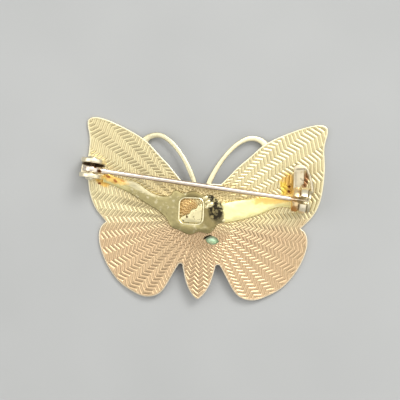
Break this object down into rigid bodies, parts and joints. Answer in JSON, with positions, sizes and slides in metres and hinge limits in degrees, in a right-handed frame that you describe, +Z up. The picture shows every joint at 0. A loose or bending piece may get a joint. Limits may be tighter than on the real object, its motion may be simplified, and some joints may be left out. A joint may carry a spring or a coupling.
{
  "type": "butterfly brooch",
  "caption": "Stamped gold-tone butterfly brooch lying on its front, with a soldered pin-back strap, a hinged pin stem and a turning safety catch.",
  "frame": {"origin": "on the resting plane, under the middle of the part's bounding box", "axes": "+Z up, out of the brooch's back; +Y towards the antennae; +X along the wingspan, from the hinge to the catch"},
  "size_m": [0.0467, 0.0337, 0.006],
  "materials": {
    "gilt_metal": "gold-toned stamped brass with a fine zigzag pattern",
    "pin_metal": "polished, pale gold plate",
    "green_glass": "cut green glass"
  },
  "bodies": {
    "brooch": {"butterfly": "gilt_metal", "hinge_rivet": "pin_metal", "green_stone": "green_glass"},
    "pin": {"pin_stem": "pin_metal"},
    "lock": {"catch_roller": "pin_metal"}
  },
  "joints": [
    {"name": "pin_hinge", "type": "hinge", "parent": "brooch", "child": "pin", "pos_m": [-0.0209, 0.00684, 0.00372], "axis": [-0.1097, -0.994, 0], "range_deg": [0, 100]},
    {"name": "catch_turn", "type": "hinge", "parent": "brooch", "child": "lock", "pos_m": [0.01886, 0.00245, 0.00372], "axis": [0.994, -0.1097, 0], "range_deg": [0, 95]}
  ]
}
